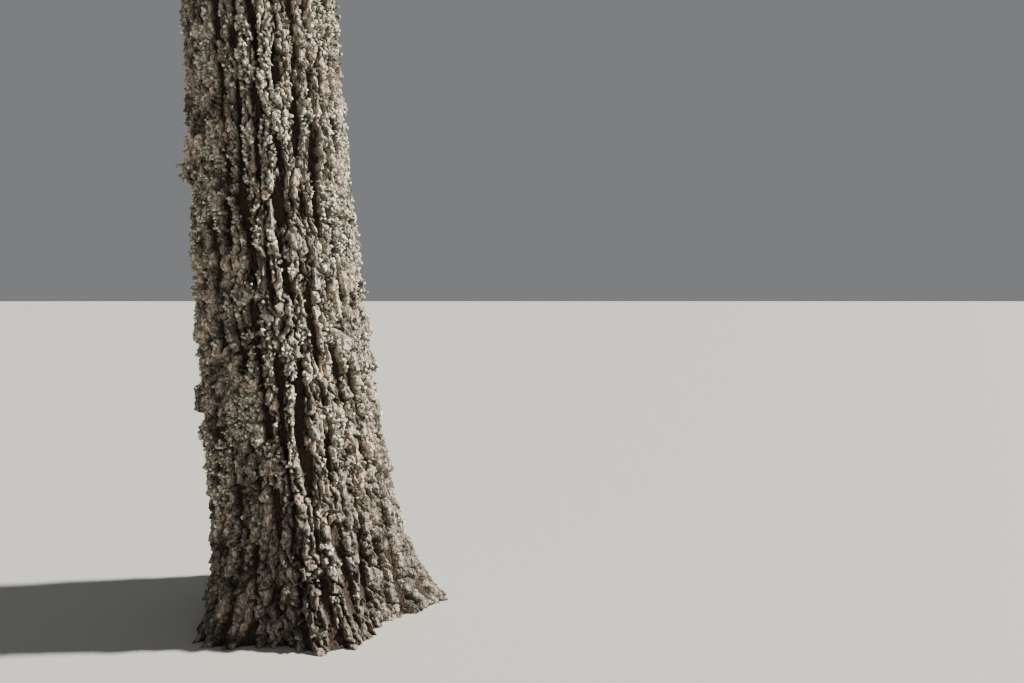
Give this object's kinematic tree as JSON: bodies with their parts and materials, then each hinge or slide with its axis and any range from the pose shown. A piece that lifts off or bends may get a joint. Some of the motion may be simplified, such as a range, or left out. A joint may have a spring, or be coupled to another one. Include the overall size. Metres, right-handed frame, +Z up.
{
  "type": "scots pine tree",
  "caption": "Tall pine with a leaning trunk of rugged plated bark, dead snags below an open crown, and flat clouds of needles on whorled boughs.",
  "frame": {"origin": "middle of the flat cut under the trunk, at ground level", "axes": "+Z up the trunk, +X to the right as the picture sees the tree, +Y away from the picture's viewer"},
  "size_m": [5.4428, 5.4737, 19.937],
  "materials": {
    "bark": "rough plated bark with pale lichen, orange and flaky above",
    "bough_bark": "thin flaky orange bark",
    "dead_wood": "weathered grey dead wood",
    "needles": "matt needles"
  },
  "bodies": {
    "root": {"trunk": "bark", "bough_01": "bough_bark", "foliage_01": "needles", "bough_02": "bough_bark", "foliage_02": "needles", "bough_03": "bough_bark", "foliage_03": "needles", "bough_04": "bough_bark", "foliage_04": "needles", "bough_05": "bough_bark", "foliage_05": "needles", "bough_06": "bough_bark", "foliage_06": "needles", "bough_07": "bough_bark", "foliage_07": "needles", "bough_08": "bough_bark", "foliage_08": "needles", "bough_09": "bough_bark", "foliage_09": "needles", "bough_10": "bough_bark", "foliage_10": "needles", "bough_11": "bough_bark", "foliage_11": "needles", "bough_12": "bough_bark", "foliage_12": "needles", "bough_13": "bough_bark", "foliage_13": "needles", "bough_14": "bough_bark", "foliage_14": "needles", "bough_15": "bough_bark", "foliage_15": "needles", "bough_16": "bough_bark", "foliage_16": "needles", "bough_17": "bough_bark", "foliage_17": "needles", "bough_18": "bough_bark", "foliage_18": "needles", "bough_19": "bough_bark", "foliage_19": "needles", "bough_20": "bough_bark", "foliage_20": "needles", "bough_21": "bough_bark", "foliage_21": "needles", "bough_22": "bough_bark", "foliage_22": "needles", "bough_23": "bough_bark", "foliage_23": "needles", "bough_24": "bough_bark", "foliage_24": "needles", "bough_25": "bough_bark", "foliage_25": "needles", "foliage_top": "needles", "snag_1": "dead_wood", "snag_2": "dead_wood", "snag_3": "dead_wood", "snag_4": "dead_wood", "snag_5": "dead_wood", "snag_6": "dead_wood", "snag_7": "dead_wood"}
  },
  "joints": []
}
